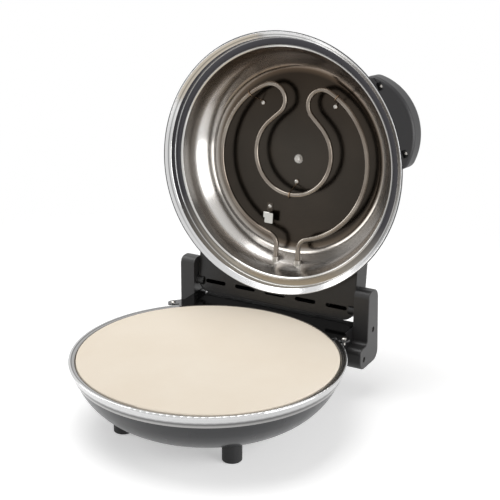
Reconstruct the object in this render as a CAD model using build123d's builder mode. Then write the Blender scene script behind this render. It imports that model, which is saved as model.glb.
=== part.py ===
from build123d import *
import os
from math import acos, atan2, cos, degrees, hypot, radians, sin, sqrt

# A countertop pizza oven with its lid open. Millimetres, +Z up, -Y the front, +X the right.
# The origin is the middle of the baking stone's top face; heights of the base are counted
# from the table. The lid is drawn in its own frame: x across, y towards the hinge and the
# depth measured from the rim plane into the dome.

os.makedirs("parts", exist_ok=True)

# ---------------------------------------------------------------- driving dimensions
seat_gap = 0.15             # between neighbouring pieces of one body
running_gap = 0.35          # between pieces that move past each other

# base
lip_r = 169.6               # outer radius of the bright rim
lip_z = 87.3
band_r = 163.3              # lower edge of the rim's outer band
band_z = 71.5
ring_wall = 0.8
lip_bend = 1.5
bowl_wall = 1.0
bowl_flat_r = 84.0
bowl_flat_z = 16.2
collar_run = 8.0            # how far the bowl reaches up behind the band
stone_r = 160.0
stone_thick = 12.0
stone_round = 1.5
stone_play = 1.0
ledge_width = 11.0
flange_drop = 1.4           # rim flange below the lip

foot_r = 12.0
foot_circle = 106.5
foot_recess_r = 5.0
foot_recess = 6.0
foot_screw_r = 2.0
foot_screw_head_r = 4.0
foot_screw_head = 2.4
foot_screw_length = 20.0
foot_round = 1.5

# lower heater
pan_wall = 0.6
pan_flange_r = 158.5
pan_mouth_r = 151.0
pan_floor_r = 136.0
pan_floor_z = 46.0
tube_r = 3.25
lower_loop_r = 100.0
lower_loop_z = 60.0
lower_leg_x = 20.0
lower_leg_end = 150.0
lower_bend_r = 15.0
bush_r = 5.0
bush_length = 9.0
clip_width = 8.0
clip_wall = 1.2
clip_depth = 12.0
clip_rise = 1.0              # above the middle of the tube
clip_angles = (60.0, 180.0, 300.0)
bush_y = 142.0

# hinge side of the base
plate_wall = 1.2
plate_front = 124.0
plate_rear = 178.0
cover_outer_r = 172.5
plate_half = 117.4
cover_inner_r = 159.0
cover_half_angle = 43.4
skirt_r = 171.3
skirt_half_angle = 46.5
skirt_z = 66.0
hug_top_z = 58.0            # where the bracket lies against the bowl
hug_low_z = 51.0
hug_gap = 0.25
hug_screw_length = 8.0
ear_circle = 175.0
ear_angle = 45.5
ear_r = 7.0
ear_screw_r = 1.7
ear_head_r = 3.2
ear_head = 2.0
ear_reach = 16.8           # how far an ear runs back into its plate
ear_screw_length = 8.0
hug_screw_angles = (-30.0, 0.0, 30.0)
flange_low_z = 40.5
flange_rear = 195.0
flange_front = 147.0

upright_inner = 117.6
upright_width = 21.0
upright_front = 165.2
upright_top = 137.2
upright_rear_top = 193.6
upright_rear_low = 200.6
upright_low = 36.6
toe_front = 144.2
toe_top = 66.2
upright_screw_spots = ((181.6, 82.5), (155.5, 50.0))
recess_r = 3.7
recess_depth = 4.0
upright_screw_r = 1.75
upright_head_r = 3.2
upright_head = 2.2
upright_screw_end = 114.0
upright_edge = 1.2

# hinge
hinge_y = 175.4
hinge_z = 105.4
open_angle = 96.0
closing_gap = 1.5
pin_r = 3.0
pin_inner = 107.6
pin_outer = 126.0
pin_clearance = 0.05
press_clearance = 0.02
ear_boss_r = 5.5
ear_boss_length = 8.0
shoulder_r = 6.5

# lid
lid_r = 170.0
rim_start = 0.8
cone_start = 3.0
waist_r = 137.0
waist_depth = 62.0
crown_r = 112.0
dome_depth = 85.0
shell_wall = 0.6
lid_ring_r = 169.2
lid_ring_wall = 0.6
lid_ring_edge = 2.7
facet_r = 161.8             # inner edge of the lid ring's outer facet
facet_depth = 6.0
step_r = 161.0              # foot of the step between the facet and the flat band
bead_r = 151.0
bead_depth = 13.4
bead_half = 1.9
bead_rise = 1.7
reflector_wall = 0.5
reflector_flange_r = 159.5
mouth_r = 149.8
mouth_depth = 15.8
bulge_r = 143.0
bulge_depth = 36.0
disk_corner_r = 122.0
disk_depth = 62.0

# upper heater
element_depth = 44.0
outer_loop_r = 105.0
leg_x = 16.0
leg_end = 158.0
leg_bend_r = 15.0
curl_x = 37.0
curl_y = -76.0
inner_loop_r = 54.0
inner_loop_y = -8.5
collar_r = 4.6
collar_start = 131.5
collar_end = 150.0

wire_r = 0.8
hook_gap = 0.15             # between a hook and the tube that it holds
hook_wrap = 170.0
hook_seats = ((-40.0, 105.0, 16.5), (32.5, 105.0, 16.5), (181.0, 45.5, 15.0))
hook_eye_r = 2.2
hook_tail = 1.2             # straight run of the wire beside its eye
hook_screw_length = 6.0
small_screw_r = 1.2
small_head_r = 2.6
small_head = 1.3
tab_x = -33.7
tab_y = 83.3
tab_width = 12.0
tab_length = 14.0
tab_depth = 52.0
tab_wall = 0.8
tab_leg_width = 8.0
tab_foot = 5.0
tab_screw_length = 8.0
tab_screw_x = -37.7
tab_screw_y = 69.8
cutout_y = 48.0
cutout_r = 7.5
cutout_height = 9.0
cutout_flange = 1.0
stud_r = 2.5
stud_start = 56.5
spacer_r = 4.5
washer_r = 6.0
washer_wall = 0.8
washer_teeth = 12
nut_flats = 8.0
nut_height = 4.0

# hinge housing on the lid
housing_half = 115.0
housing_front = 100.0
housing_rear = 190.0
housing_start = 15.0
housing_end = 52.0
housing_wall = 3.0
housing_corner = 16.0
housing_round = 7.0
panel_inset = 0.4
panel_wall = 2.0
panel_play = 0.3
panel_ledge = 1.6
slot_length = 30.0
slot_width = 5.5
slot_pitch = 44.5
slot_count = 5
slot_y = 174.5
post_x = 70.0
post_y = 156.0
post_width = 13.0
post_length = 52.0
post_start = 22.0
housing_screw_depth = 30.0
handle_screw_depth = 21.5
wall_screw_seat = 0.04       # keeps a flat head off the curved sheet
wall_screw_r = 1.6
wall_head_r = 3.0
wall_head = 1.8
wall_screw_reach = 9.0
block_width = 42.0
block_length = 16.0
block_height = 18.0
block_y = 172.0
gland_x = 60.0
gland_depth = 35.0
gland_r = 5.0
gland_flange_r = 7.5
gland_flange = 3.0
gland_bore_r = 3.6
gland_inner_y = 184.0

# handle
handle_angle = 63.0         # from the front towards the right
handle_half = 60.0
handle_inner = 120.0
handle_shoulder = 164.0
handle_tip = 194.0
handle_corner = 13.0
handle_low = 0.5
handle_split = 8.0
handle_top = 28.0
handle_wall = 2.5
handle_round_low = 4.5
handle_round_top = 6.0
groove_r = 175.0
groove_width = 1.4
groove_depth = 0.8
groove_half_angle = 12.8
pocket_u = 169.0
pocket_v = 43.5
pocket_length = 10.0
pocket_width = 7.0
pocket_floor = 6.0
grip_screw_r = 1.5
grip_head_r = 2.8
grip_head = 1.8
grip_boss_r = 4.5
grip_screw_length = 12.0
handle_wall_screw_v = 36.0
dial_u = 174.0
dial_r = 13.0
dial_height = 9.0
dial_base = 1.5
dial_grip_width = 7.0
dial_shaft_r = 3.0
dial_shaft_reach = 12.0
dial_bore_r = 3.35
thermostat_size = 20.0
thermostat_height = 10.0
lamp_v = 27.0
lamp_r = 3.0
lamp_flange_r = 4.2
lamp_rise = 1.2
lamp_flange = 0.8
lamp_body = 6.0


# ---------------------------------------------------------------- frames
def height(z):
    """The table's height z as a plane that looks up."""
    return Plane.XY.offset(z - lip_z)


def upright_plane(angle):
    """The half plane through the base's axis at an angle from the rear towards the right."""
    a = radians(90 - angle)
    return Plane(origin=(0, 0, -lip_z), x_dir=(cos(a), sin(a), 0), z_dir=(sin(a), -cos(a), 0))


def bowl_outer_r(z):
    """The bowl's outer radius at a height on its curved wall."""
    return bowl_flat_r + sqrt(bowl_arc_r**2 - (bowl_arc_z - z) ** 2)


rim_z = lip_z + closing_gap
tilt = radians(open_angle)
rim_back = hinge_y - hinge_y * cos(tilt) + (rim_z - hinge_z) * sin(tilt)
rim_up = hinge_z + hinge_y * sin(tilt) + (rim_z - hinge_z) * cos(tilt)
hinge_depth = hinge_z - rim_z

lid = Plane(origin=(0, rim_back, rim_up - lip_z), x_dir=(1, 0, 0), z_dir=(0, sin(tilt), cos(tilt)))
lid_axis = Axis(lid.origin, lid.z_dir)
lid_section = Plane(origin=lid.origin, x_dir=lid.x_dir, z_dir=-lid.y_dir)
lid_side = Plane(origin=lid.origin, x_dir=lid.y_dir, z_dir=lid.x_dir)
base_section = Plane(origin=(0, 0, -lip_z), x_dir=(1, 0, 0), z_dir=(0, -1, 0))
base_side = Plane(origin=(0, 0, -lip_z), x_dir=(0, 1, 0), z_dir=(1, 0, 0))
base_axis = Axis((0, 0, 0), (0, 0, 1))


def lid_point(x, y, depth):
    """A point of the lid's frame in the part's frame."""
    return lid.from_local_coords((x, y, depth))


def lid_radial(angle, reach=0.0, depth=0.0):
    """A plane that stands on the lid's axis: x outwards at an angle from the front, y the depth."""
    a = radians(angle)
    out = lid.x_dir * sin(a) - lid.y_dir * cos(a)
    side = out.cross(lid.z_dir)
    return Plane(origin=lid.origin + out * reach + lid.z_dir * depth, x_dir=out, z_dir=side)


def handle_plane(depth):
    """The handle's plane at a depth: x outwards along the handle's middle, y along its width."""
    a = radians(handle_angle)
    out = lid.x_dir * sin(a) - lid.y_dir * cos(a)
    return Plane(origin=lid.origin + lid.z_dir * depth, x_dir=out, z_dir=lid.z_dir)


# the bowl's wall is one arc, level where it leaves the flat bottom
band_slope = Vector(lip_r - band_r, lip_z - band_z).normalized()
band_normal = Vector(band_slope.Y, -band_slope.X)
collar_foot = Vector(band_r, band_z) - band_normal * (ring_wall + seat_gap)
collar_top = collar_foot + band_slope * collar_run
bowl_run = collar_foot.X - bowl_flat_r
bowl_rise = collar_foot.Y - bowl_flat_z
bowl_arc_r = (bowl_run**2 + bowl_rise**2) / (2 * bowl_rise)
bowl_arc_z = bowl_flat_z + bowl_arc_r
stone_bottom = lip_z - stone_thick
ledge_under = stone_bottom - ring_wall


# ---------------------------------------------------------------- shared outlines
def sheet(points, bends, wall, side=Side.LEFT):
    """A bent sheet in section: a rounded line through the points, thickened to one side."""
    with BuildSketch() as section:
        with BuildLine():
            FilletPolyline(*points, radius=bends)
            offset(amount=wall, side=side)
        make_face()
    return section.sketch


def bowl_line():
    """The outside of the bowl in section, from its middle to the foot of its collar."""
    Line((0, bowl_flat_z), (bowl_flat_r, bowl_flat_z))
    TangentArc((bowl_flat_r, bowl_flat_z), (collar_foot.X, collar_foot.Y), tangent=(1, 0))


def dome_line(grow, rim):
    """The outside of the lid in section, from its rim to the middle of its flat top."""
    FilletPolyline(
        (lid_r + grow, rim),
        (lid_r + grow, cone_start),
        (waist_r + grow, waist_depth),
        (crown_r + grow, dome_depth + grow),
        (0, dome_depth + grow),
        radius=(3.0, 60.0, 50.0),
    )


def loop_half(leg, end, bend, loop, tail):
    """Half of a heater's line: a leg, a bend into the outer loop, and the loop to an angle."""
    bend_x = leg + bend
    bend_y = sqrt((loop + bend) ** 2 - bend_x**2)
    join = degrees(atan2(bend_y, bend_x))
    Line((leg, end), (leg, bend_y))
    CenterArc((bend_x, bend_y), bend, 180, join)
    CenterArc((0, 0), loop, join, tail - join)


def handle_outline(inset=0.0):
    """The handle's D shape, with its straight side towards the lid's axis."""
    half = handle_half - inset
    with BuildSketch() as outline:
        with BuildLine():
            ThreePointArc((handle_shoulder, -half), (handle_tip - inset, 0), (handle_shoulder, half))
            Polyline((handle_shoulder, half), (handle_inner, half))
            Polyline((handle_inner, half), (handle_inner, -half))
            Polyline((handle_inner, -half), (handle_shoulder, -half))
        make_face()
        fillet(outline.vertices().group_by(Axis.X)[-1], handle_corner)
    return outline.sketch


def housing_outline(inset=0.0):
    """The hinge housing's outline, rounded at its two rear corners."""
    with BuildSketch() as outline:
        with Locations((0, (housing_front + housing_rear) / 2)):
            Rectangle(2 * (housing_half - inset), housing_rear - housing_front - 2 * inset)
        fillet(outline.vertices().group_by(Axis.Y)[-1], housing_corner - inset)
    return outline.sketch


def screw(plane, shank_r, shank, head_r, head_height):
    """A pan-head screw: its head stands up from the plane and its shank goes down from it."""
    with BuildPart() as body:
        with BuildSketch(plane):
            Circle(shank_r)
        extrude(amount=-shank)
        with BuildSketch(Plane(origin=plane.origin, x_dir=plane.x_dir, z_dir=-plane.y_dir)):
            with BuildLine():
                Polyline((0, head_height), (0, 0), (head_r, 0), (head_r, head_height * 0.45))
                TangentArc((0, head_height), (head_r, head_height * 0.45), tangent=(1, 0))
            make_face()
        revolve(axis=Axis(plane.origin, plane.z_dir))
        with BuildSketch(plane.offset(head_height)):
            Rectangle(head_r * 1.1, head_r * 0.28)
            Rectangle(head_r * 0.28, head_r * 1.1)
        extrude(amount=-head_height * 0.45, mode=Mode.SUBTRACT)
    return body.part


def hug_point(z, gap=0.0):
    """A point of the bowl's outside in section, moved out by a gap."""
    spot = Vector(bowl_outer_r(z), z)
    return spot + (spot - Vector(bowl_flat_r, bowl_arc_z)).normalized() * gap


def hug_screw_plane(angle):
    """The bracket's outside where it lies against the bowl; the plane looks away from the bowl."""
    top = hug_point(hug_top_z, hug_gap)
    low = hug_point(hug_low_z, hug_gap)
    away = Vector((top - low).Y, -(top - low).X).normalized()
    spot = (top + low) / 2 + away * plate_wall
    stand = upright_plane(angle)
    out = stand.x_dir * away.X + stand.y_dir * away.Y
    origin = stand.origin + stand.x_dir * spot.X + stand.y_dir * spot.Y
    return Plane(origin=origin, x_dir=stand.z_dir, z_dir=out)


def wall_screw_plane(angle, depth):
    """The inside of the lid's cone at an angle from the front; the plane looks at the axis."""
    cone = Vector(waist_r - lid_r, waist_depth - cone_start).normalized()
    reach = lid_r + (depth - cone_start) * (waist_r - lid_r) / (waist_depth - cone_start)
    stand = lid_radial(angle, reach, depth)
    out = stand.x_dir * cone.Y - stand.y_dir * cone.X
    return Plane(origin=stand.origin - out * (shell_wall + wall_screw_seat), x_dir=stand.z_dir, z_dir=-out)


def spot_on_lid(x, y, depth):
    """A plane at a point of the lid that looks at the open side."""
    return Plane(origin=lid_point(x, y, depth), x_dir=lid.x_dir, z_dir=-lid.z_dir)


housing_screw_angle = 180 - degrees(atan2(post_x, sqrt(lid_r**2 - post_x**2)))
handle_screw_turn = degrees(atan2(handle_wall_screw_v, sqrt(lid_r**2 - handle_wall_screw_v**2)))
housing_screw_planes = [
    wall_screw_plane(angle, housing_screw_depth) for angle in (housing_screw_angle, -housing_screw_angle)
]
handle_screw_planes = [
    wall_screw_plane(handle_angle + turn, handle_screw_depth)
    for turn in (-handle_screw_turn, handle_screw_turn)
]
hook_planes = []
for angle, radius, inward in hook_seats:
    foot = lid_radial(angle, radius - inward, disk_depth - 2 * wire_r)
    hook_planes.append(Plane(origin=foot.origin, x_dir=foot.x_dir, z_dir=-lid.z_dir))

# the lid's outer form, with a seating gap, for the pieces that stand on the lid
with BuildPart() as dome_form:
    with BuildSketch(lid_section):
        with BuildLine():
            dome_line(seat_gap, -handle_round_low)
            Line((0, dome_depth + seat_gap), (0, -handle_round_low))
            Line((0, -handle_round_low), (lid_r + seat_gap, -handle_round_low))
        make_face()
    revolve(axis=lid_axis)


# ---------------------------------------------------------------- base
with BuildPart() as base_bowl:
    with BuildSketch(base_section):
        with BuildLine():
            bowl_line()
            Line((collar_foot.X, collar_foot.Y), (collar_top.X, collar_top.Y))
            offset(amount=bowl_wall, side=Side.LEFT)
        make_face()
    revolve(axis=base_axis)
    with BuildSketch(height(0)):
        with PolarLocations(foot_circle, 4, start_angle=45):
            Circle(foot_screw_r + press_clearance)
    extrude(amount=lip_z / 2, mode=Mode.SUBTRACT)
    for angle in hug_screw_angles:
        with BuildSketch(hug_screw_plane(angle)):
            Circle(ear_screw_r + press_clearance)
        extrude(amount=-4 * bowl_wall, mode=Mode.SUBTRACT)
base_bowl.part.label = "base_bowl"
export_step(base_bowl.part, "parts/base_bowl.step")

lip_corner = Vector(lip_r, lip_z) + band_slope * 0.6
seat_r = stone_r + stone_play
with BuildPart() as base_ring:
    with BuildSketch(base_section):
        add(
            sheet(
                (
                    (band_r, band_z),
                    (lip_corner.X, lip_corner.Y),
                    (seat_r, lip_z - flange_drop),
                    (seat_r, stone_bottom),
                    (seat_r - ledge_width, stone_bottom),
                ),
                (lip_bend, ring_wall * 1.5, ring_wall * 1.25),
                ring_wall,
            )
        )
    revolve(axis=base_axis)
base_ring.part.label = "base_ring"
export_step(base_ring.part, "parts/base_ring.step")

with BuildPart() as pizza_stone:
    with BuildSketch(height(stone_bottom)):
        Circle(stone_r)
    extrude(amount=stone_thick)
    fillet(pizza_stone.edges().filter_by(GeomType.CIRCLE), stone_round)
pizza_stone.part.label = "pizza_stone"
export_step(pizza_stone.part, "parts/pizza_stone.step")

with BuildPart() as lower_reflector:
    with BuildSketch(base_section):
        add(
            sheet(
                (
                    (pan_flange_r, ledge_under),
                    (pan_mouth_r, ledge_under),
                    (pan_floor_r, pan_floor_z),
                    (0, pan_floor_z),
                ),
                (3.0, 6.0),
                pan_wall,
            )
        )
    revolve(axis=base_axis)
    with BuildSketch(Plane.XZ.offset(-bush_y)):
        with Locations((-lower_leg_x, lower_loop_z - lip_z), (lower_leg_x, lower_loop_z - lip_z)):
            Circle(bush_r + press_clearance)
    extrude(amount=bush_length, both=True, mode=Mode.SUBTRACT)
lower_reflector.part.label = "lower_reflector"
export_step(lower_reflector.part, "parts/lower_reflector.step")

with BuildPart() as lower_heating_element:
    with BuildLine(height(lower_loop_z)) as lower_path:
        loop_half(lower_leg_x, lower_leg_end, lower_bend_r, lower_loop_r, -90)
    with BuildSketch(Plane(origin=lower_path.line @ 0, z_dir=lower_path.line % 0)):
        Circle(tube_r)
    sweep(path=lower_path.line)
    mirror(about=Plane.YZ)
lower_heating_element.part.label = "lower_heating_element"
export_step(lower_heating_element.part, "parts/lower_heating_element.step")

with BuildPart() as lower_element_clips:
    for angle in clip_angles:
        with BuildSketch(upright_plane(angle)):
            with Locations((lower_loop_r, (pan_floor_z + lower_loop_z + clip_rise) / 2)):
                Rectangle(clip_depth, lower_loop_z + clip_rise - pan_floor_z)
            with Locations((lower_loop_r, lower_loop_z)):
                Circle(tube_r + pin_clearance, mode=Mode.SUBTRACT)
                Rectangle(2 * tube_r, 3 * clip_rise, mode=Mode.SUBTRACT)
        extrude(amount=clip_wall)
        with BuildSketch(upright_plane(angle)):
            with Locations((lower_loop_r, pan_floor_z + clip_wall / 2)):
                Rectangle(clip_depth, clip_wall)
        extrude(amount=clip_width)
lower_element_clips.part.label = "lower_element_clips"
export_step(lower_element_clips.part, "parts/lower_element_clips.step")

with BuildPart() as lower_terminal_bushes:
    with BuildSketch(Plane.XZ.offset(-bush_y)):
        with Locations((-lower_leg_x, lower_loop_z - lip_z), (lower_leg_x, lower_loop_z - lip_z)):
            Circle(bush_r)
            Circle(tube_r + press_clearance, mode=Mode.SUBTRACT)
    extrude(amount=bush_length / 2, both=True)
lower_terminal_bushes.part.label = "lower_terminal_bushes"
export_step(lower_terminal_bushes.part, "parts/lower_terminal_bushes.step")

with BuildPart() as rubber_feet:
    with BuildSketch(height(0)):
        with PolarLocations(foot_circle, 4, start_angle=45):
            Circle(foot_r)
    extrude(amount=lip_z / 2)
    fillet(rubber_feet.edges().group_by(Axis.Z)[0], foot_round)
    with BuildSketch(base_section):
        with BuildLine():
            bowl_line()
            Line((collar_foot.X, collar_foot.Y), (0, collar_foot.Y))
            Line((0, collar_foot.Y), (0, bowl_flat_z))
        make_face()
    revolve(axis=base_axis, mode=Mode.SUBTRACT)
    with BuildSketch(height(0)):
        with PolarLocations(foot_circle, 4, start_angle=45):
            Circle(foot_recess_r)
    extrude(amount=foot_recess, mode=Mode.SUBTRACT)
    with BuildSketch(height(0)):
        with PolarLocations(foot_circle, 4, start_angle=45):
            Circle(foot_screw_r + press_clearance)
    extrude(amount=lip_z / 2, mode=Mode.SUBTRACT)
rubber_feet.part.label = "rubber_feet"
export_step(rubber_feet.part, "parts/rubber_feet.step")

with BuildPart() as foot_screws:
    for angle in (45, 135, 225, 315):
        place = upright_plane(angle)
        origin = place.origin + place.x_dir * foot_circle + place.y_dir * foot_recess
        seat = Plane(origin=origin, x_dir=place.x_dir, z_dir=(0, 0, -1))
        add(screw(seat, foot_screw_r, foot_screw_length, foot_screw_head_r, foot_screw_head))
foot_screws.part.label = "foot_screws"
export_step(foot_screws.part, "parts/foot_screws.step")

# ---------------------------------------------------------------- hinge side of the base
with BuildPart() as hinge_bracket:
    with BuildSketch(upright_plane(skirt_half_angle)):
        hug_top = hug_point(hug_top_z, hug_gap)
        hug_low = hug_point(hug_low_z, hug_gap)
        add(
            sheet(
                ((skirt_r, lip_z), (skirt_r, skirt_z), (hug_top.X, hug_top.Y), (hug_low.X, hug_low.Y)),
                (2.0, 2.5),
                plate_wall,
            )
        )
    revolve(axis=base_axis, revolution_arc=2 * skirt_half_angle)
    with BuildSketch(height(lip_z)):
        with Locations((0, (plate_front + plate_rear) / 2)):
            Rectangle(2 * plate_half, plate_rear - plate_front)
        for sign in (-1, 1):
            with PolarLocations(ear_circle, 1, start_angle=90 - sign * ear_angle):
                with Locations((0, sign * ear_reach / 2)):
                    SlotCenterToCenter(ear_reach, 2 * ear_r, rotation=90)
        Circle(skirt_r, mode=Mode.SUBTRACT)
    extrude(amount=-plate_wall)
    with BuildSketch(base_side.offset(plate_half)):
        with BuildLine():
            FilletPolyline(
                (plate_front + 1.5, lip_z),
                (flange_rear, lip_z),
                (flange_rear + 1, 50.0),
                (186.0, flange_low_z),
                (150.0, flange_low_z),
                (flange_front, 62.0),
                (128.0, 72.0),
                radius=(3.0, 4.0, 6.0, 6.0, 6.0, 3.0, 0.0),
                close=True,
            )
        make_face()
        with Locations(*upright_screw_spots):
            Circle(upright_screw_r + press_clearance, mode=Mode.SUBTRACT)
    flange = extrude(amount=-plate_wall)
    mirror(flange, about=Plane.YZ)
    with BuildSketch(height(lip_z)):
        with PolarLocations(ear_circle, 2, start_angle=90 - ear_angle, angular_range=2 * ear_angle, endpoint=True):
            Circle(ear_screw_r + press_clearance)
    extrude(amount=-2 * plate_wall, mode=Mode.SUBTRACT)
    for angle in hug_screw_angles:
        with BuildSketch(hug_screw_plane(angle)):
            Circle(ear_screw_r + press_clearance)
        extrude(amount=2 * plate_wall, both=True, mode=Mode.SUBTRACT)
hinge_bracket.part.label = "hinge_bracket"
export_step(hinge_bracket.part, "parts/hinge_bracket.step")

with BuildPart() as bracket_cover:
    with BuildSketch(height(lip_z)):
        with BuildLine():
            CenterArc((0, 0), cover_outer_r, 90 - cover_half_angle, 2 * cover_half_angle)
            edge = Vector(cover_outer_r, 0).rotate(Axis.Z, 90 - cover_half_angle)
            Polyline((edge.X, edge.Y), (0, 0), (-edge.X, edge.Y))
        make_face()
        with Locations((0, (plate_front + plate_rear) / 2)):
            Rectangle(2 * plate_half, plate_rear - plate_front)
        for sign in (-1, 1):
            with PolarLocations(ear_circle, 1, start_angle=90 - sign * ear_angle):
                with Locations((0, sign * ear_reach / 2)):
                    SlotCenterToCenter(ear_reach, 2 * ear_r, rotation=90)
        Circle(cover_inner_r, mode=Mode.SUBTRACT)
        with PolarLocations(ear_circle, 2, start_angle=90 - ear_angle, angular_range=2 * ear_angle, endpoint=True):
            Circle(ear_screw_r + press_clearance, mode=Mode.SUBTRACT)
    extrude(amount=plate_wall)
bracket_cover.part.label = "bracket_cover"
export_step(bracket_cover.part, "parts/bracket_cover.step")

with BuildPart() as cover_screws:
    for angle in (-ear_angle, ear_angle):
        place = upright_plane(angle)
        origin = place.origin + place.x_dir * ear_circle + place.y_dir * (lip_z + plate_wall)
        add(screw(Plane(origin=origin, z_dir=(0, 0, 1)), ear_screw_r, ear_screw_length, ear_head_r, ear_head))
cover_screws.part.label = "cover_screws"
export_step(cover_screws.part, "parts/cover_screws.step")

with BuildPart() as bracket_bowl_screws:
    for angle in hug_screw_angles:
        add(screw(hug_screw_plane(angle), ear_screw_r, hug_screw_length, ear_head_r, ear_head))
bracket_bowl_screws.part.label = "bracket_bowl_screws"
export_step(bracket_bowl_screws.part, "parts/bracket_bowl_screws.step")

with BuildPart() as upright_right:
    with BuildSketch(base_side.offset(upright_inner)):
        with BuildLine():
            FilletPolyline(
                (upright_front, upright_top),
                (upright_rear_top, upright_top),
                (upright_rear_low, upright_low),
                (toe_front, upright_low),
                (toe_front, toe_top),
                (upright_front, toe_top),
                radius=(9.0, 15.0, 13.0, 13.0, 8.0, 5.0),
                close=True,
            )
        make_face()
    extrude(amount=upright_width)
    fillet(upright_right.faces().sort_by(Axis.X)[-1].edges(), upright_edge)
    with BuildSketch(base_side.offset(upright_inner)):
        with Locations((hinge_y, hinge_z)):
            Circle(shoulder_r)
    extrude(amount=housing_half + running_gap - upright_inner)
    with BuildSketch(base_side.offset(pin_inner)):
        with Locations((hinge_y, hinge_z)):
            Circle(pin_r + press_clearance)
    extrude(amount=pin_outer - pin_inner, mode=Mode.SUBTRACT)
    with BuildSketch(base_side.offset(upright_inner + upright_width)):
        with Locations(*upright_screw_spots):
            Circle(recess_r)
    extrude(amount=-recess_depth, mode=Mode.SUBTRACT)
    with BuildSketch(base_side.offset(upright_inner + upright_width)):
        with Locations(*upright_screw_spots):
            Circle(upright_screw_r + press_clearance)
    extrude(amount=-upright_width, mode=Mode.SUBTRACT)
upright_right.part.label = "upright_right"
export_step(upright_right.part, "parts/upright_right.step")

with BuildPart() as upright_left:
    mirror(upright_right.part, about=Plane.YZ)
upright_left.part.label = "upright_left"
export_step(upright_left.part, "parts/upright_left.step")

with BuildPart() as upright_screws:
    seat_x = upright_inner + upright_width - recess_depth
    for sign in (-1, 1):
        for y, z in upright_screw_spots:
            seat = Plane(origin=(sign * seat_x, y, z - lip_z), x_dir=(0, 1, 0), z_dir=(sign, 0, 0))
            add(screw(seat, upright_screw_r, seat_x - upright_screw_end, upright_head_r, upright_head))
upright_screws.part.label = "upright_screws"
export_step(upright_screws.part, "parts/upright_screws.step")

with BuildPart() as hinge_pin_right:
    with BuildSketch(base_side.offset(pin_inner)):
        with Locations((hinge_y, hinge_z)):
            Circle(pin_r)
    extrude(amount=pin_outer - pin_inner)
hinge_pin_right.part.label = "hinge_pin_right"
export_step(hinge_pin_right.part, "parts/hinge_pin_right.step")

with BuildPart() as hinge_pin_left:
    mirror(hinge_pin_right.part, about=Plane.YZ)
hinge_pin_left.part.label = "hinge_pin_left"
export_step(hinge_pin_left.part, "parts/hinge_pin_left.step")

# ---------------------------------------------------------------- lid
with BuildPart() as lid_shell:
    with BuildSketch(lid_section):
        with BuildLine():
            dome_line(0.0, rim_start)
            offset(amount=shell_wall, side=Side.LEFT)
        make_face()
    revolve(axis=lid_axis)
    with BuildSketch(Plane(origin=lid_point(0, collar_start, element_depth), x_dir=lid.x_dir, z_dir=lid.y_dir)):
        with Locations((-leg_x, 0), (leg_x, 0)):
            Circle(collar_r + seat_gap)
    extrude(amount=collar_end - collar_start, mode=Mode.SUBTRACT)
    for place in housing_screw_planes + handle_screw_planes:
        with BuildSketch(place):
            Circle(wall_screw_r + press_clearance)
        extrude(amount=4 * shell_wall, both=True, mode=Mode.SUBTRACT)
lid_shell.part.label = "lid_shell"
export_step(lid_shell.part, "parts/lid_shell.step")

with BuildPart() as lid_ring:
    with BuildSketch(lid_section):
        add(
            sheet(
                (
                    (lid_ring_r, lid_ring_edge),
                    (lid_ring_r, 0),
                    (facet_r, facet_depth),
                    (step_r, bead_depth + bead_rise),
                    (bead_r + bead_half, bead_depth + bead_rise),
                    (bead_r, bead_depth),
                    (bead_r - bead_half, bead_depth + bead_rise),
                ),
                (0.7, 1.2, 0.8, 0.4, 1.2),
                lid_ring_wall,
                Side.RIGHT,
            )
        )
    revolve(axis=lid_axis)
lid_ring.part.label = "lid_ring"
export_step(lid_ring.part, "parts/lid_ring.step")

with BuildPart() as reflector:
    with BuildSketch(lid_section):
        add(
            sheet(
                (
                    (reflector_flange_r, mouth_depth),
                    (mouth_r, mouth_depth),
                    (bulge_r, bulge_depth),
                    (disk_corner_r, disk_depth),
                    (0, disk_depth),
                ),
                (0.8, 40.0, 14.0),
                reflector_wall,
                Side.RIGHT,
            )
        )
    revolve(axis=lid_axis)
    with BuildSketch(Plane(origin=lid_point(0, collar_start, element_depth), x_dir=lid.x_dir, z_dir=lid.y_dir)):
        with Locations((-leg_x, 0), (leg_x, 0)):
            Circle(collar_r + seat_gap)
    extrude(amount=collar_end - collar_start, mode=Mode.SUBTRACT)
    with BuildSketch(lid.offset(disk_depth)):
        Circle(stud_r + press_clearance)
        with Locations((tab_screw_x, tab_screw_y)):
            Circle(small_screw_r + press_clearance)
    extrude(amount=reflector_wall, mode=Mode.SUBTRACT)
    for place in hook_planes:
        with BuildSketch(place):
            Circle(small_screw_r + press_clearance)
        extrude(amount=-hook_screw_length, mode=Mode.SUBTRACT)
reflector.part.label = "reflector"
export_step(reflector.part, "parts/reflector.step")

# the curl's and the inner loop's circles are joined by their common inner tangent
curl = Vector(curl_x, curl_y)
inner = Vector(0, inner_loop_y)
curl_r = outer_loop_r - curl.length
curl_start = degrees(atan2(curl.Y, curl.X))
across = inner - curl
tangent_turn = degrees(acos((curl_r + inner_loop_r) / across.length))
curl_end = degrees(atan2(across.Y, across.X)) + tangent_turn
curl_exit = curl + Vector(curl_r, 0).rotate(Axis.Z, curl_end)
inner_entry = inner - Vector(inner_loop_r, 0).rotate(Axis.Z, curl_end)

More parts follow.
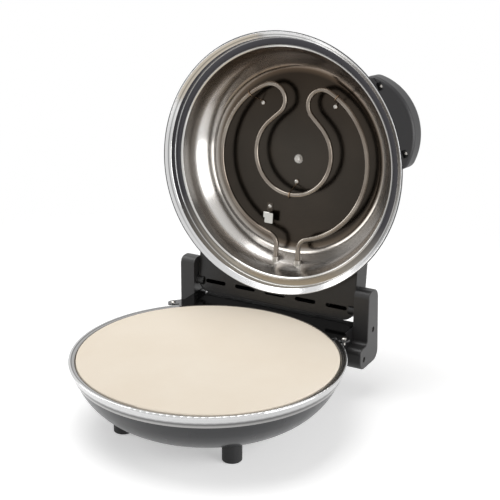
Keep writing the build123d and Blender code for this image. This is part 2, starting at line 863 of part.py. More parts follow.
with BuildPart() as upper_heating_element:
    with BuildLine(lid.offset(element_depth)) as upper_path:
        loop_half(leg_x, leg_end, leg_bend_r, outer_loop_r, curl_start)
        CenterArc((curl.X, curl.Y), curl_r, curl_start, curl_end - 360 - curl_start)
        Line((curl_exit.X, curl_exit.Y), (inner_entry.X, inner_entry.Y))
        CenterArc((inner.X, inner.Y), inner_loop_r, curl_end - 180, 270 - curl_end)
    with BuildSketch(Plane(origin=upper_path.line @ 0, z_dir=upper_path.line % 0)):
        Circle(tube_r)
    sweep(path=upper_path.line)
    mirror(about=Plane.YZ)
upper_heating_element.part.label = "upper_heating_element"
export_step(upper_heating_element.part, "parts/upper_heating_element.step")

with BuildPart() as terminal_collars:
    with BuildSketch(Plane(origin=lid_point(0, collar_start, element_depth), x_dir=lid.x_dir, z_dir=lid.y_dir)):
        with Locations((-leg_x, 0), (leg_x, 0)):
            Circle(collar_r)
            Circle(tube_r + press_clearance, mode=Mode.SUBTRACT)
    extrude(amount=collar_end - collar_start)
terminal_collars.part.label = "terminal_collars"
export_step(terminal_collars.part, "parts/terminal_collars.step")

wrap_r = tube_r + hook_gap + wire_r
wire_depth = disk_depth - wire_r
with BuildPart() as element_hooks:
    for angle, radius, inward in hook_seats:
        section = lid_radial(angle)
        foot_r_lid = radius - inward
        start = Vector(foot_r_lid + hook_eye_r, wire_depth)
        rise = start + Vector(hook_tail, 0)
        run = rise - Vector(radius, element_depth)
        touch = degrees(atan2(run.Y, run.X)) + degrees(acos(wrap_r / run.length))
        first = Vector(radius, element_depth) + Vector(wrap_r, 0).rotate(Axis.Z, touch)
        with BuildLine(section) as wire:
            FilletPolyline(
                (start.X, start.Y), (rise.X, rise.Y), (first.X, first.Y), radius=1.3 * wire_r
            )
            CenterArc((radius, element_depth), wrap_r, touch, hook_wrap)
        with BuildSketch(Plane(origin=wire.line @ 0, z_dir=wire.line % 0)):
            Circle(wire_r)
        sweep(path=wire.line)
        with BuildSketch(section):
            with Locations((foot_r_lid + hook_eye_r, wire_depth)):
                Circle(wire_r)
        foot_axis = Axis(section.from_local_coords((foot_r_lid, wire_depth, 0)), lid.z_dir)
        revolve(axis=foot_axis)
element_hooks.part.label = "element_hooks"
export_step(element_hooks.part, "parts/element_hooks.step")

with BuildPart() as hook_screws:
    for place in hook_planes:
        add(screw(place, small_screw_r, hook_screw_length, small_head_r, small_head))
hook_screws.part.label = "hook_screws"
export_step(hook_screws.part, "parts/hook_screws.step")

tab_front = tab_y - tab_length / 2
with BuildPart() as element_tab:
    with BuildSketch(lid.offset(tab_depth)):
        with Locations((tab_x, tab_y)):
            RectangleRounded(tab_width, tab_length, tab_wall)
    extrude(amount=-tab_wall)
    with BuildSketch(lid_side.offset(tab_screw_x)):
        add(
            sheet(
                (
                    (tab_y, tab_depth),
                    (tab_front, tab_depth),
                    (tab_front, disk_depth),
                    (tab_screw_y - tab_foot, disk_depth),
                ),
                (tab_wall, 1.5 * tab_wall),
                tab_wall,
            )
        )
    extrude(amount=tab_leg_width / 2, both=True)
    with BuildSketch(lid.offset(disk_depth)):
        with Locations((tab_screw_x, tab_screw_y)):
            Circle(small_screw_r + press_clearance)
    extrude(amount=-tab_wall, mode=Mode.SUBTRACT)
element_tab.part.label = "element_tab"
export_step(element_tab.part, "parts/element_tab.step")

with BuildPart() as tab_screw:
    seat = spot_on_lid(tab_screw_x, tab_screw_y, disk_depth - tab_wall)
    add(screw(seat, small_screw_r, tab_screw_length, small_head_r, small_head))
tab_screw.part.label = "tab_screw"
export_step(tab_screw.part, "parts/tab_screw.step")

with BuildPart() as thermal_cutout:
    disk_back = lid.offset(disk_depth + reflector_wall)
    with BuildSketch(disk_back):
        with Locations((tab_screw_x, cutout_y)):
            Circle(cutout_r)
    extrude(amount=cutout_height)
    fillet(thermal_cutout.edges().filter_by(GeomType.CIRCLE), cutout_flange)
    with BuildSketch(disk_back):
        with Locations((tab_screw_x, (cutout_y + tab_screw_y + tab_foot) / 2)):
            RectangleRounded(tab_leg_width, tab_screw_y + tab_foot - cutout_y, 2 * cutout_flange)
    extrude(amount=cutout_flange)
    with BuildSketch(disk_back):
        with Locations((tab_screw_x, tab_screw_y)):
            Circle(small_screw_r + press_clearance)
    extrude(amount=cutout_flange, mode=Mode.SUBTRACT)
thermal_cutout.part.label = "thermal_cutout"
export_step(thermal_cutout.part, "parts/thermal_cutout.step")

with BuildPart() as centre_stud:
    with BuildSketch(lid.offset(stud_start)):
        Circle(stud_r)
    extrude(amount=dome_depth - shell_wall - stud_start)
    chamfer(centre_stud.edges().sort_by(Axis.Y)[0], stud_r / 6)
centre_stud.part.label = "centre_stud"
export_step(centre_stud.part, "parts/centre_stud.step")

with BuildPart() as centre_spacer:
    with BuildSketch(disk_back):
        Circle(spacer_r)
        Circle(stud_r + press_clearance, mode=Mode.SUBTRACT)
    extrude(amount=dome_depth - shell_wall - disk_depth - reflector_wall)
centre_spacer.part.label = "centre_spacer"
export_step(centre_spacer.part, "parts/centre_spacer.step")

with BuildPart() as centre_washer:
    with BuildSketch(lid.offset(disk_depth)):
        Circle(washer_r)
        Circle(stud_r + press_clearance, mode=Mode.SUBTRACT)
        with PolarLocations(washer_r, washer_teeth):
            Rectangle(washer_r / 3, washer_r / 5, mode=Mode.SUBTRACT)
    extrude(amount=-washer_wall)
centre_washer.part.label = "centre_washer"
export_step(centre_washer.part, "parts/centre_washer.step")

with BuildPart() as centre_nut:
    with BuildSketch(lid.offset(disk_depth - washer_wall)):
        RegularPolygon(nut_flats / 2, 6, major_radius=False)
        Circle(stud_r + press_clearance, mode=Mode.SUBTRACT)
    extrude(amount=-nut_height)
centre_nut.part.label = "centre_nut"
export_step(centre_nut.part, "parts/centre_nut.step")

# ---------------------------------------------------------------- hinge housing on the lid
housing_under_top = housing_end - housing_wall
with BuildPart() as hinge_housing:
    with BuildSketch(lid.offset(housing_start)):
        add(housing_outline())
    extrude(amount=housing_end - housing_start)
    top = hinge_housing.faces().sort_by(lid_axis)[-1]
    fillet(top.edges(), housing_round)
    with BuildSketch(lid.offset(housing_start)):
        add(housing_outline(housing_wall))
    extrude(amount=housing_under_top - housing_start, mode=Mode.SUBTRACT)
    with BuildSketch(lid.offset(housing_start)):
        add(housing_outline(housing_wall - panel_ledge))
    extrude(amount=panel_inset + panel_wall, mode=Mode.SUBTRACT)
    with BuildSketch(lid.offset(post_start)):
        with Locations((-post_x, post_y), (post_x, post_y)):
            Rectangle(post_width, post_length)
    extrude(amount=housing_under_top - post_start)
    add(dome_form.part, mode=Mode.SUBTRACT)
    with BuildSketch(lid_side.offset(housing_half)):
        with Locations((hinge_y, hinge_depth)):
            Circle(ear_boss_r)
    boss = extrude(amount=-ear_boss_length)
    mirror(boss, about=Plane.YZ)
    with BuildSketch(lid_side.offset(-housing_half)):
        with Locations((hinge_y, hinge_depth)):
            Circle(pin_r + pin_clearance)
    extrude(amount=2 * housing_half, mode=Mode.SUBTRACT)
    for place in housing_screw_planes:
        with BuildSketch(place):
            Circle(wall_screw_r + press_clearance)
        extrude(amount=-wall_screw_reach - wall_screw_r, mode=Mode.SUBTRACT)
    with BuildSketch(Plane(origin=lid_point(gland_x, housing_rear, gland_depth), x_dir=lid.x_dir, z_dir=lid.y_dir)):
        Circle(gland_r + press_clearance)
    extrude(amount=-2 * housing_wall, mode=Mode.SUBTRACT)
hinge_housing.part.label = "hinge_housing"
export_step(hinge_housing.part, "parts/hinge_housing.step")

panel_start = housing_start + panel_inset
with BuildPart() as housing_panel:
    with BuildSketch(lid.offset(panel_start)):
        add(housing_outline(housing_wall - panel_ledge + panel_play))
        with Locations((0, slot_y)):
            with GridLocations(slot_pitch, 1, slot_count, 1):
                SlotOverall(slot_length, slot_width, mode=Mode.SUBTRACT)
    extrude(amount=panel_wall)
    add(dome_form.part, mode=Mode.SUBTRACT)
    with BuildSketch(lid_side.offset(-housing_half)):
        with Locations((hinge_y, hinge_depth)):
            Circle(ear_boss_r + panel_play)
    extrude(amount=ear_boss_length + panel_play, mode=Mode.SUBTRACT)
    with BuildSketch(lid_side.offset(housing_half)):
        with Locations((hinge_y, hinge_depth)):
            Circle(ear_boss_r + panel_play)
    extrude(amount=-ear_boss_length - panel_play, mode=Mode.SUBTRACT)
housing_panel.part.label = "housing_panel"
export_step(housing_panel.part, "parts/housing_panel.step")

with BuildPart() as housing_screws:
    for place in housing_screw_planes:
        add(screw(place, wall_screw_r, wall_screw_reach, wall_head_r, wall_head))
housing_screws.part.label = "housing_screws"
export_step(housing_screws.part, "parts/housing_screws.step")

with BuildPart() as terminal_block:
    with BuildSketch(lid.offset(housing_under_top)):
        with Locations((0, block_y)):
            RectangleRounded(block_width, block_length, panel_wall)
    extrude(amount=-block_height)
    with BuildSketch(lid.offset(housing_under_top - block_height)):
        with Locations((0, block_y)):
            with GridLocations(block_width / 3, block_length / 2, 3, 2):
                Circle(block_length / 7)
    extrude(amount=block_height / 3, mode=Mode.SUBTRACT)
terminal_block.part.label = "terminal_block"
export_step(terminal_block.part, "parts/terminal_block.step")

with BuildPart() as cord_gland:
    rear_wall = Plane(
        origin=lid_point(gland_x, housing_rear, gland_depth), x_dir=lid.x_dir, z_dir=lid.y_dir
    )
    with BuildSketch(rear_wall):
        Circle(gland_flange_r)
    extrude(amount=gland_flange)
    fillet(cord_gland.edges().sort_by(Axis(lid.origin, lid.y_dir))[-1], gland_flange / 2)
    with BuildSketch(rear_wall):
        Circle(gland_r)
    extrude(amount=gland_inner_y - housing_rear)
    with BuildSketch(rear_wall.offset(gland_flange)):
        Circle(gland_bore_r)
    extrude(amount=gland_inner_y - housing_rear - gland_flange, mode=Mode.SUBTRACT)
cord_gland.part.label = "cord_gland"
export_step(cord_gland.part, "parts/cord_gland.step")

# ---------------------------------------------------------------- handle
grip_spots = ((pocket_u, -pocket_v), (pocket_u, pocket_v))
with BuildPart() as handle_lower:
    with BuildSketch(handle_plane(handle_low)):
        add(handle_outline())
    extrude(amount=handle_split - handle_low)
    under = handle_lower.faces().sort_by(lid_axis)[0]
    fillet(under.edges(), handle_round_low)
    add(dome_form.part, mode=Mode.SUBTRACT)
    with BuildSketch(lid_radial(handle_angle - groove_half_angle)):
        with Locations((groove_r, handle_low)):
            Rectangle(groove_width, 2 * groove_depth)
    revolve(axis=Axis(lid.origin, -lid.z_dir), revolution_arc=2 * groove_half_angle, mode=Mode.SUBTRACT)
    with BuildSketch(handle_plane(handle_low)):
        with Locations(*grip_spots):
            RectangleRounded(pocket_width, pocket_length, groove_width)
    extrude(amount=pocket_floor - handle_low, mode=Mode.SUBTRACT)
    with BuildSketch(handle_plane(handle_low)):
        with Locations(*grip_spots):
            Circle(grip_screw_r + press_clearance)
    extrude(amount=handle_split - handle_low, mode=Mode.SUBTRACT)
handle_lower.part.label = "handle_lower"
export_step(handle_lower.part, "parts/handle_lower.step")

# the room inside the handle's upper half, with the bosses left standing in it
with BuildPart() as handle_room:
    with BuildSketch(handle_plane(handle_split)):
        add(handle_outline(handle_wall))
        with Locations(*grip_spots):
            Circle(grip_boss_r, mode=Mode.SUBTRACT)
    extrude(amount=handle_top - handle_wall - handle_split)
    for place in handle_screw_planes:
        with BuildSketch(place):
            Circle(grip_boss_r)
        extrude(amount=-wall_screw_reach - handle_wall, mode=Mode.SUBTRACT)

with BuildPart() as handle_upper:
    with BuildSketch(handle_plane(handle_split)):
        add(handle_outline())
    extrude(amount=handle_top - handle_split)
    top = handle_upper.faces().sort_by(lid_axis)[-1]
    fillet(top.edges(), handle_round_top)
    add(handle_room.part, mode=Mode.SUBTRACT)
    add(dome_form.part, mode=Mode.SUBTRACT)
    with BuildSketch(handle_plane(handle_top)):
        with Locations((dial_u, 0)):
            Circle(dial_bore_r)
        with Locations((dial_u, -lamp_v), (dial_u, lamp_v)):
            Circle(lamp_r + press_clearance)
    extrude(amount=-handle_wall, mode=Mode.SUBTRACT)
    with BuildSketch(handle_plane(handle_split)):
        with Locations(*grip_spots):
            Circle(grip_screw_r + press_clearance)
    extrude(amount=grip_screw_length, mode=Mode.SUBTRACT)
    for place in handle_screw_planes:
        with BuildSketch(place):
            Circle(wall_screw_r + press_clearance)
        extrude(amount=-wall_screw_reach, mode=Mode.SUBTRACT)
handle_upper.part.label = "handle_upper"
export_step(handle_upper.part, "parts/handle_upper.step")

with BuildPart() as handle_screws:
    for u, v in grip_spots:
        place = handle_plane(pocket_floor)
        seat = Plane(origin=place.from_local_coords((u, v, 0)), x_dir=place.x_dir, z_dir=-place.z_dir)
        add(screw(seat, grip_screw_r, grip_screw_length, grip_head_r, grip_head))
handle_screws.part.label = "handle_screws"
export_step(handle_screws.part, "parts/handle_screws.step")

with BuildPart() as handle_wall_screws:
    for place in handle_screw_planes:
        add(screw(place, wall_screw_r, wall_screw_reach, wall_head_r, wall_head))
handle_wall_screws.part.label = "handle_wall_screws"
export_step(handle_wall_screws.part, "parts/handle_wall_screws.step")

with BuildPart() as thermostat:
    with BuildSketch(handle_plane(handle_top - handle_wall)):
        with Locations((dial_u, 0)):
            RectangleRounded(thermostat_size, thermostat_size, handle_wall)
            Circle(dial_bore_r, mode=Mode.SUBTRACT)
    extrude(amount=-thermostat_height)
thermostat.part.label = "thermostat"
export_step(thermostat.part, "parts/thermostat.step")

with BuildPart() as indicator_lamps:
    for v in (-lamp_v, lamp_v):
        place = handle_plane(handle_top)
        top = Plane(origin=place.from_local_coords((dial_u, v, 0)), x_dir=place.x_dir, z_dir=place.z_dir)
        with BuildSketch(top):
            Circle(lamp_r)
        extrude(amount=-lamp_body)
        with BuildSketch(Plane(origin=top.origin, x_dir=top.x_dir, z_dir=-top.y_dir)):
            with BuildLine():
                Polyline((0, lamp_rise + lamp_flange), (0, 0), (lamp_flange_r, 0), (lamp_flange_r, lamp_flange))
                TangentArc((0, lamp_rise + lamp_flange), (lamp_flange_r, lamp_flange), tangent=(1, 0))
            make_face()
        revolve(axis=Axis(top.origin, top.z_dir))
indicator_lamps.part.label = "indicator_lamps"
export_step(indicator_lamps.part, "parts/indicator_lamps.step")

# ---------------------------------------------------------------- dial
with BuildPart() as thermostat_dial:
    with BuildSketch(handle_plane(handle_top + running_gap)):
        with Locations((dial_u, 0)):
            Circle(dial_r)
    extrude(amount=dial_height)
    with BuildSketch(handle_plane(handle_top + running_gap + dial_base)):
        with Locations((dial_u, 0)):
            Circle(2 * dial_r)
            Rectangle(2.5 * dial_r, dial_grip_width, mode=Mode.SUBTRACT)
    extrude(amount=dial_height, mode=Mode.SUBTRACT)
    top = thermostat_dial.faces().sort_by(lid_axis)[-1]
    fillet(top.edges(), dial_base)
    with BuildSketch(handle_plane(handle_top + running_gap)):
        with Locations((dial_u, 0)):
            Circle(dial_shaft_r)
    extrude(amount=-dial_shaft_reach)
thermostat_dial.part.label = "thermostat_dial"
export_step(thermostat_dial.part, "parts/thermostat_dial.step")
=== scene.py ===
import math

import bpy
from mathutils import Matrix, Quaternion, Vector

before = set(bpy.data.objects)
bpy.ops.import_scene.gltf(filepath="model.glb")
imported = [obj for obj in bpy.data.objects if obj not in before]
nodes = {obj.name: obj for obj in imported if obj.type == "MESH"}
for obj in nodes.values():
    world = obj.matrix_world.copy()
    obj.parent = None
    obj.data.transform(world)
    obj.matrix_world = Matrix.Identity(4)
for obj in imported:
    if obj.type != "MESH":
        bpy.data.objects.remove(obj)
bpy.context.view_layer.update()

# ------------------------------------------------------------------ places, in metres
TABLE_Z = -0.0873
# the open lid's own frame: x across, y towards the hinge, z from the rim into the dome
LID_TILT = math.radians(96)
LID_ORIGIN = Vector((0, 0.17722523, 0.19427431))
LID_X = Vector((1, 0, 0))
LID_Y = Vector((0, math.cos(LID_TILT), -math.sin(LID_TILT)))
LID_Z = Vector((0, math.sin(LID_TILT), math.cos(LID_TILT)))

# ------------------------------------------------------------------ numbers of the finishes
NOISE_BAND = (0.3, 0.7)     # nearly all of a noise lies between these two values
PEEL_HEIGHT = 0.0001        # relief of sprayed paint and of the stone's grain
PLASTIC_GRAIN = 0.00006
TURNED_RELIEF = 0.00003     # relief of the fine rings on turned metal

RIM_REACH = 0.17            # the radius that the zones of both rims are shares of
# base ring by radius: a grey flange and a dark line, painted dark reflection, then the bright band
RIM_ZONES = (
    (0.935, (0.26, 0.255, 0.25)),
    (0.965, (0.40, 0.395, 0.39)),
    (0.972, (0.10, 0.10, 0.10)),
    (0.980, (0.62, 0.62, 0.62)),
)
# bead, band painted dark as a painted dark reflection, bright facet with a turned line in it, edge
LID_ZONES = (
    (0.885, (0.58, 0.57, 0.55)),
    (0.897, (0.050, 0.049, 0.054)),
    (0.938, (0.070, 0.068, 0.074)),
    (0.950, (0.66, 0.66, 0.66)),
    (0.966, (0.56, 0.56, 0.56)),
    (0.970, (0.14, 0.14, 0.14)),
    (0.975, (0.66, 0.66, 0.66)),
)
# the same near the hinge, where the band is paler: a painted reflection of the stone
LID_STONE_REFLECTION = (
    (0.885, (0.58, 0.57, 0.55)),
    (0.897, (0.30, 0.27, 0.225)),
    (0.938, (0.36, 0.33, 0.28)),
    (0.950, (0.66, 0.66, 0.66)),
)
# between these places across the lid the painted reflection of the stone takes over the band
STONE_REFLECTION_FROM, STONE_REFLECTION_TO = 0.06, 0.15

REFLECTOR_REACH = 0.16
# disk painted dark as a painted dark reflection, its bend, and the bright cone
REFLECTOR_ZONES = (
    (0.0, (0.045, 0.040, 0.034)),
    (0.70, (0.034, 0.029, 0.024)),
    (0.738, (0.12, 0.095, 0.072)),
    (0.77, (0.40, 0.375, 0.345)),
    (0.93, (0.68, 0.672, 0.66)),
)
# the reflector is tinted warmer between these places across the lid, most at the end away from the hinge
WARM_FROM, WARM_TO, WARM_MOST = -0.125, -0.02, 0.75
WARM_TINT = (0.55, 0.44, 0.35)

# the tab's foot is painted dark between these depths, the same painted dark reflection as the disk
TAB_FACE, TAB_FOOT = 0.050, 0.064   # depths in the lid between which the tab darkens

FLOOR_RADIUS = 2.6
FLOOR_SIDES = 96
FLOOR_GLOW = 0.43           # lifts the lit floor to the white of the background
FLOOR_FADE = (0.42, 0.85)   # the floor gives way to the background between these radii


# ------------------------------------------------------------------ node helpers
class Tree:
    """A small builder round a material's node tree."""

    def __init__(self, name):
        self.mat = bpy.data.materials.new(name)
        self.mat.use_nodes = True
        self.t = self.mat.node_tree
        self.t.nodes.clear()
        self.out = self.t.nodes.new("ShaderNodeOutputMaterial")
        self.bsdf = self.t.nodes.new("ShaderNodeBsdfPrincipled")
        self.link(self.bsdf.outputs[0], self.out.inputs["Surface"])
        self.coord = self.t.nodes.new("ShaderNodeTexCoord").outputs["Object"]

    def link(self, a, b):
        self.t.links.new(a, b)

    def put(self, socket, value):
        if isinstance(value, bpy.types.NodeSocket):
            self.link(value, socket)
        else:
            socket.default_value = value

    def lid_space(self):
        """Object coordinates turned into the lid's own frame, in metres."""
        n = self.t.nodes.new("ShaderNodeMapping")
        turn = Matrix((LID_X, LID_Y, LID_Z))
        n.inputs["Location"].default_value = -(turn @ LID_ORIGIN)
        n.inputs["Rotation"].default_value = turn.to_euler()
        self.link(self.coord, n.inputs["Vector"])
        return n.outputs[0]

    def noise(self, vector, scale, detail=3.0, rough=0.5):
        n = self.t.nodes.new("ShaderNodeTexNoise")
        self.link(vector, n.inputs["Vector"])
        n.inputs["Scale"].default_value = scale
        n.inputs["Detail"].default_value = detail
        n.inputs["Roughness"].default_value = rough
        return n.outputs["Fac"]

    def math(self, op, a, b=0.0):
        n = self.t.nodes.new("ShaderNodeMath")
        n.operation = op
        self.put(n.inputs[0], a)
        self.put(n.inputs[1], b)
        return n.outputs[0]

    def split(self, vector):
        n = self.t.nodes.new("ShaderNodeSeparateXYZ")
        self.link(vector, n.inputs[0])
        return n.outputs

    def join(self, x, y, z):
        n = self.t.nodes.new("ShaderNodeCombineXYZ")
        for i, v in enumerate((x, y, z)):
            self.put(n.inputs[i], v)
        return n.outputs[0]

    def radius(self, vector):
        """The distance from the vector's own z axis."""
        x, y, _ = self.split(vector)
        square = self.math("ADD", self.math("MULTIPLY", x, x), self.math("MULTIPLY", y, y))
        return self.math("SQRT", square)

    def ramp(self, fac, stops, ease="LINEAR"):
        """Colours, or greys given as one number, at places between 0 and 1."""
        n = self.t.nodes.new("ShaderNodeValToRGB")
        n.color_ramp.interpolation = ease
        self.link(fac, n.inputs[0])
        steps = n.color_ramp.elements
        while len(steps) < len(stops):
            steps.new(0.5)
        for step, (place, color) in zip(steps, stops):
            step.position = place
            step.color = (*color, 1) if hasattr(color, "__len__") else (color, color, color, 1)
        return n.outputs[0]

    def remap(self, fac, from_min, from_max, to_min, to_max):
        n = self.t.nodes.new("ShaderNodeMapRange")
        self.link(fac, n.inputs["Value"])
        names = ("From Min", "From Max", "To Min", "To Max")
        for name, value in zip(names, (from_min, from_max, to_min, to_max)):
            n.inputs[name].default_value = value
        return n.outputs[0]

    def vary(self, noise, least, most):
        """A noise stretched over its usual band to run from least to most."""
        return self.remap(noise, *NOISE_BAND, least, most)

    def mix(self, fac, a, b, kind="MIX"):
        n = self.t.nodes.new("ShaderNodeMix")
        n.data_type = "RGBA"
        n.blend_type = kind
        self.put(n.inputs[0], fac)
        for socket, value in ((n.inputs[6], a), (n.inputs[7], b)):
            self.put(socket, (*value, 1) if isinstance(value, tuple) else value)
        return n.outputs[2]

    def shown(self):
        """1 for what the camera, a mirror or a clear body sees, and 0 for light that is scattered."""
        path = self.t.nodes.new("ShaderNodeLightPath").outputs
        seen = self.math("MAXIMUM", path["Is Camera Ray"], path["Is Glossy Ray"])
        return self.math("MAXIMUM", seen, path["Is Transmission Ray"])

    def bump(self, height, strength, distance):
        n = self.t.nodes.new("ShaderNodeBump")
        self.link(height, n.inputs["Height"])
        n.inputs["Strength"].default_value = strength
        n.inputs["Distance"].default_value = distance
        return n.outputs[0]

    def turned(self, vector, step):
        """Fine rings round the frame's axis, about one every step metres, with no two alike."""
        r = self.radius(vector)
        z = self.split(vector)[2]
        across = self.math("MULTIPLY", r, 1 / step)
        along = self.math("MULTIPLY", z, 0.4 / step)
        return self.noise(self.join(across, along, 0.0), 1.0, 4.0, 0.7)

    def set(self, **values):
        """Sets or links the shader's sockets, and returns the material."""
        for name, value in values.items():
            self.put(self.bsdf.inputs[name.replace("_", " ")], value)
        return self.mat


def linear(value):
    """One channel of a colour, from 0 to 255, as the shaders take it."""
    share = value / 255
    return ((share + 0.055) / 1.055) ** 2.4 if value > 10 else share / 12.92


def srgb(r, g, b):
    return tuple(linear(c) for c in (r, g, b))


def shades(color, spread):
    """Two stops of a ramp: the colour a little darker and a little lighter."""
    dark = tuple(c * (1 - spread) for c in color)
    light = tuple(min(1, c * (1 + spread)) for c in color)
    return (NOISE_BAND[0], dark), (NOISE_BAND[1], light)


def give(mat, *names):
    for name in names:
        data = nodes[name].data
        data.materials.clear()
        data.materials.append(mat)


# ------------------------------------------------------------------ kinds of material
def paint(name, color, rough, peel=0.25, coat=0.0):
    t = Tree(name)
    base = t.ramp(t.noise(t.coord, 14.0, 4.0), shades(color, 0.08))
    return t.set(
        Base_Color=base,
        Roughness=t.vary(t.noise(t.coord, 60.0), rough - 0.03, rough + 0.03),
        Coat_Weight=coat,
        Coat_Roughness=0.06,
        Normal=t.bump(t.noise(t.coord, 900.0, 2.0), peel, PEEL_HEIGHT),
    )


def plastic(name, color, rough, grain=0.35):
    t = Tree(name)
    fine = t.noise(t.coord, 2200.0, 2.0)
    base = t.ramp(t.noise(t.coord, 25.0, 3.0), shades(color, 0.08))
    return t.set(
        Base_Color=base,
        Roughness=t.vary(fine, rough - 0.04, rough + 0.04),
        Normal=t.bump(fine, grain, PLASTIC_GRAIN),
    )


def metal(name, color, rough):
    t = Tree(name)
    base = t.ramp(t.noise(t.coord, 40.0, 5.0), shades(color, 0.06))
    return t.set(
        Base_Color=base,
        Metallic=1.0,
        Roughness=t.vary(t.noise(t.coord, 400.0), rough * 0.8, rough * 1.2),
    )


def ring_metal(name, zones, rough, in_lid, lower=None, depth=0.3):
    """A turned metal whose tone changes with the radius, in zones that hold painted reflections, and
    towards the hinge if lower is given, with a painted reflection of the stone.
    """
    t = Tree(name)
    v = t.lid_space() if in_lid else t.coord
    fine = t.turned(v, 0.0006)
    share = t.math("MULTIPLY", t.radius(v), 1 / RIM_REACH)
    base = t.ramp(share, zones)
    if lower:
        # painted reflection of the stone, blended in towards the hinge
        near_hinge = t.remap(t.split(v)[1], STONE_REFLECTION_FROM, STONE_REFLECTION_TO, 0.0, 1.0)
        base = t.mix(near_hinge, base, t.ramp(share, lower))
    base = t.mix(t.vary(fine, 0.0, 0.05), base, (0.05, 0.05, 0.05))
    return t.set(
        Base_Color=base,
        Metallic=1.0,
        Roughness=t.vary(fine, rough * 0.7, rough * 1.3),
        Normal=t.bump(fine, depth, TURNED_RELIEF),
    )


# ------------------------------------------------------------------ single materials
def tab_steel():
    """Bright steel whose foot, down on the disk, is painted dark like the disk, a painted dark
    reflection.
    """
    t = Tree("tab_steel")
    depth = t.split(t.lid_space())[2]
    down = t.remap(depth, TAB_FACE, TAB_FOOT, 0.0, 1.0)
    # painted dark reflection at the foot
    base = t.ramp(down, ((0.35, (0.56, 0.55, 0.52)), (0.6, (0.08, 0.068, 0.056))))
    return t.set(Base_Color=base, Metallic=1.0, Roughness=t.vary(t.noise(t.coord, 400.0), 0.14, 0.24))


def lamp_lens():
    t = Tree("lamp_lens")
    lens = t.ramp(t.noise(t.coord, 120.0), ((0.3, (0.45, 0.02, 0.015)), (0.7, (0.6, 0.04, 0.02))))
    return t.set(Base_Color=lens, Roughness=0.12, Coat_Weight=0.5)


def baking_stone():
    t = Tree("baking_stone")
    grain = t.noise(t.coord, 1400.0, 3.0, 0.6)
    cloud = t.noise(t.coord, 9.0, 5.0, 0.55)
    base = t.ramp(cloud, ((0.3, srgb(243, 231, 213)), (0.7, srgb(248, 238, 222))))
    base = t.mix(t.remap(grain, 0.25, 0.75, 0.0, 0.3), base, srgb(229, 214, 193))
    return t.set(
        Base_Color=base,
        Roughness=0.82,
        Normal=t.bump(grain, 0.35, PEEL_HEIGHT),
        Specular_IOR_Level=0.3,
    )


def tube_steel():
    """Steel that its own heat has tinted in patches."""
    t = Tree("tube_steel")
    patches = ((0.3, (0.17, 0.14, 0.115)), (0.55, (0.23, 0.20, 0.17)), (0.75, (0.31, 0.28, 0.245)))
    base = t.ramp(t.noise(t.coord, 22.0, 3.0), patches)
    return t.set(Base_Color=base, Metallic=1.0, Roughness=t.vary(t.noise(t.coord, 300.0), 0.15, 0.25))


def reflector_steel():
    """A disk painted dark, a painted dark reflection, in a bright cone, tinted warmer in the half away
    from the hinge.
    """
    t = Tree("reflector_steel")
    v = t.lid_space()
    fine = t.turned(v, 0.0007)
    # painted dark reflection on the disk, the bright cone round it
    tone = t.ramp(t.math("MULTIPLY", t.radius(v), 1 / REFLECTOR_REACH), REFLECTOR_ZONES)
    # warmer tint in the half away from the hinge
    warm_share = t.remap(t.split(v)[1], WARM_FROM, WARM_TO, WARM_MOST, 0.0)
    tone = t.mix(warm_share, tone, t.mix(1.0, tone, WARM_TINT, "MULTIPLY"))
    tone = t.mix(t.vary(t.noise(v, 12.0, 4.0), 0.0, 0.07), tone, (0.20, 0.15, 0.11))
    return t.set(
        Base_Color=tone,
        Metallic=1.0,
        Roughness=t.vary(fine, 0.15, 0.25),
        Normal=t.bump(fine, 0.3, TURNED_RELIEF),
    )


# ------------------------------------------------------------------ which node has which
give(paint("bowl_paint", srgb(37, 38, 41), 0.3, coat=0.12), "base_bowl", "lid_shell")
give(paint("bracket_paint", srgb(19, 18, 19), 0.36), "hinge_bracket")
give(paint("cover_paint", srgb(8, 8, 8), 0.1, peel=0.08, coat=0.6), "bracket_cover")
give(plastic("upright_plastic", srgb(37, 36, 36), 0.42), "upright_left", "upright_right")
give(plastic("handle_plastic", srgb(19, 18, 20), 0.45), "handle_lower", "handle_upper", "thermostat_dial")
give(plastic("housing_plastic", srgb(15, 14, 13), 0.5), "hinge_housing", "cord_gland")
give(plastic("panel_plastic", srgb(17, 14, 12), 0.3, grain=0.15), "housing_panel")
give(plastic("foot_rubber", srgb(22, 22, 23), 0.6, grain=0.5), "rubber_feet")
give(plastic("insulator", srgb(226, 222, 212), 0.6), "lower_terminal_bushes", "terminal_block")
give(ring_metal("rim_chrome", RIM_ZONES, 0.2, False, depth=0.08), "base_ring")
give(ring_metal("lid_chrome", LID_ZONES, 0.12, True, LID_STONE_REFLECTION), "lid_ring")
give(metal("pan_steel", (0.45, 0.44, 0.42), 0.25), "lower_reflector")
give(
    metal("clip_steel", (0.40, 0.38, 0.35), 0.3),
    "lower_element_clips", "terminal_collars", "centre_spacer",
)
give(metal("wire_steel", (0.24, 0.17, 0.115), 0.25), "element_hooks")
give(
    metal("screw_steel", (0.50, 0.48, 0.45), 0.22),
    "foot_screws", "cover_screws", "bracket_bowl_screws", "upright_screws", "hook_screws", "tab_screw",
    "centre_stud", "centre_washer", "centre_nut", "housing_screws", "handle_screws", "handle_wall_screws",
)
give(metal("pin_steel", (0.60, 0.60, 0.60), 0.25), "hinge_pin_left", "hinge_pin_right")
give(metal("cutout_alloy", (0.70, 0.70, 0.70), 0.3), "thermal_cutout", "thermostat")
give(tab_steel(), "element_tab")
give(lamp_lens(), "indicator_lamps")
give(baking_stone(), "pizza_stone")
give(tube_steel(), "upper_heating_element", "lower_heating_element")
give(reflector_steel(), "reflector")


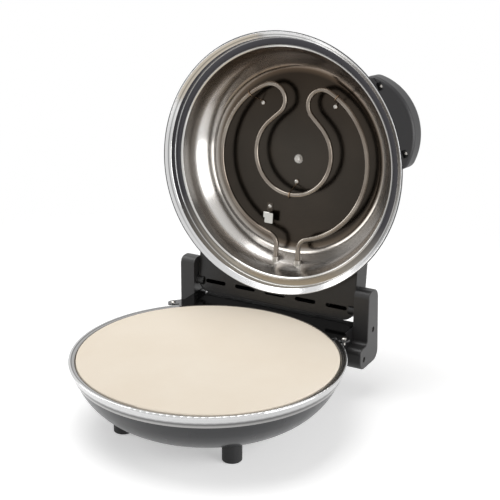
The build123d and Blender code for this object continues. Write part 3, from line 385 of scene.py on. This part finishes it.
# ------------------------------------------------------------------ floor
def floor_paint():
    """White where it is seen; where it only scatters light, paler near the object and darker far off, a
    painted pool of light.
    """
    t = Tree("floor")
    r = t.radius(t.coord)
    cloud = t.noise(t.coord, 3.0)
    far = t.remap(r, 0.0, FLOOR_RADIUS, 0.0, 1.0)
    # painted pool of light: pale near the object, dark far off, for light the floor scatters
    near = t.ramp(far, ((0.08, 0.80), (0.30, 0.16), (0.6, 0.07)), "EASE")
    near = t.mix(t.vary(cloud, 0.0, 0.04), near, (0.5, 0.5, 0.5))
    shown = t.shown()
    t.set(
        Base_Color=t.mix(shown, near, (0.93, 0.93, 0.93)),
        Roughness=0.9,
        Specular_IOR_Level=0.0,
        Emission_Color=(1, 1, 1, 1),
        Emission_Strength=t.math("MULTIPLY", shown, FLOOR_GLOW),
    )
    clear = t.t.nodes.new("ShaderNodeBsdfTransparent")
    fade = t.t.nodes.new("ShaderNodeMixShader")
    t.link(t.math("MULTIPLY", t.remap(r, *FLOOR_FADE, 0.0, 1.0), shown), fade.inputs[0])
    t.link(t.bsdf.outputs[0], fade.inputs[1])
    t.link(clear.outputs[0], fade.inputs[2])
    t.link(fade.outputs[0], t.out.inputs["Surface"])
    return t.mat


bpy.ops.mesh.primitive_circle_add(
    vertices=FLOOR_SIDES, radius=FLOOR_RADIUS, fill_type="NGON", location=(0, 0, TABLE_Z)
)
floor = bpy.context.object
floor.name = "floor"
floor.data.materials.append(floor_paint())


# ------------------------------------------------------------------ light
def studio():
    """A world that is white where it is seen and a dim warm grey where it only lights."""
    world = bpy.data.worlds.new("studio")
    world.use_nodes = True
    w = world.node_tree
    w.nodes.clear()
    out = w.nodes.new("ShaderNodeOutputWorld")
    pick = w.nodes.new("ShaderNodeMixShader")
    for slot, color, strength in ((1, (0.95, 0.92, 0.9, 1), 0.10), (2, (1.0, 1.0, 1.0, 1), 1.0)):
        back = w.nodes.new("ShaderNodeBackground")
        back.inputs[0].default_value = color
        back.inputs[1].default_value = strength
        w.links.new(back.outputs[0], pick.inputs[slot])
    path = w.nodes.new("ShaderNodeLightPath").outputs
    shown = path["Is Camera Ray"]
    for ray in ("Is Glossy Ray", "Is Transmission Ray"):
        most = w.nodes.new("ShaderNodeMath")
        most.operation = "MAXIMUM"
        w.links.new(shown, most.inputs[0])
        w.links.new(path[ray], most.inputs[1])
        shown = most.outputs[0]
    w.links.new(shown, pick.inputs[0])
    w.links.new(pick.outputs[0], out.inputs[0])
    return world


def area(name, place, target, width, height, watts):
    """A rectangular lamp at place, facing target."""
    data = bpy.data.lights.new(name, "AREA")
    data.shape = "RECTANGLE"
    data.size = width
    data.size_y = height
    data.energy = watts
    lamp = bpy.data.objects.new(name, data)
    lamp.location = place
    lamp.rotation_euler = (Vector(target) - Vector(place)).to_track_quat("-Z", "Y").to_euler()
    bpy.context.collection.objects.link(lamp)


bpy.context.scene.world = studio()
area("right", (1.55, -0.05, 0.45), (0, -0.05, 0.3), 1.5, 1.3, 22)
area("top", (-0.55, 0.15, 1.75), (-0.05, 0.1, 0.0), 1.5, 1.5, 24)
area("left", (-1.7, -0.5, 0.7), (0, 0.0, 0.1), 0.9, 1.0, 9)

# ------------------------------------------------------------------ camera
CAMERA_PLACE = (0.76137, -1.31074, 0.67855)
CAMERA_AZIMUTH = math.radians(28.27)
CAMERA_ELEVATION = math.radians(19.72)
CAMERA_ROLL = math.radians(0.42)

cam = bpy.data.objects.new("camera", bpy.data.cameras.new("camera"))
bpy.context.collection.objects.link(cam)
back = Vector((
    math.sin(CAMERA_AZIMUTH) * math.cos(CAMERA_ELEVATION),
    -math.cos(CAMERA_AZIMUTH) * math.cos(CAMERA_ELEVATION),
    math.sin(CAMERA_ELEVATION),
))
cam.location = CAMERA_PLACE
cam.rotation_mode = "QUATERNION"
cam.rotation_quaternion = (-back).to_track_quat("-Z", "Y") @ Quaternion((0, 0, 1), CAMERA_ROLL)
cam.data.sensor_width = 36
cam.data.lens = 98.2
cam.data.clip_end = 50
bpy.context.scene.camera = cam
bpy.context.scene.view_settings.view_transform = "Standard"
